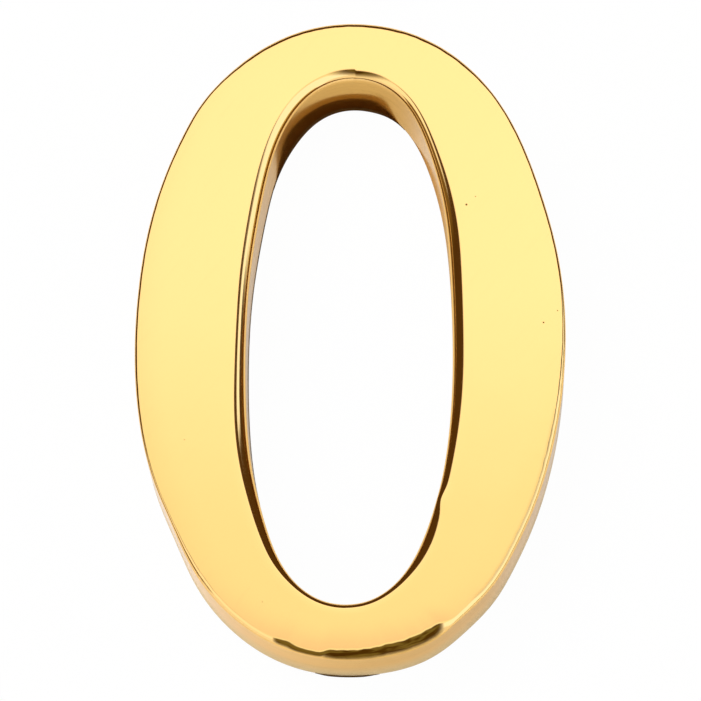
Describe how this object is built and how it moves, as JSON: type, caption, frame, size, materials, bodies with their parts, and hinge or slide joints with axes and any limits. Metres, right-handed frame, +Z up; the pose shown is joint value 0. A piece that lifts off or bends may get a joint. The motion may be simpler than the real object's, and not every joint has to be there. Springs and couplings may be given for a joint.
{
  "type": "house number",
  "caption": "Polished brass house number, numeral zero: an upright oval ring with a flat face, rounded front edges and a flat back with blind tapped holes for concealed studs.",
  "frame": {"origin": "middle of the flat back, halfway between the two tapped holes, in the plane of the wall", "axes": "+Z up, +X to the viewer's right when the numeral is read, -Y out of the face towards the viewer, +Y into the wall"},
  "size_m": [0.0332, 0.008, 0.05],
  "materials": {
    "polished_brass": "polished, warm gold, with faint hand-polishing waves and a few pits"
  },
  "bodies": {
    "root": {"numeral_zero": "polished_brass"}
  },
  "joints": []
}
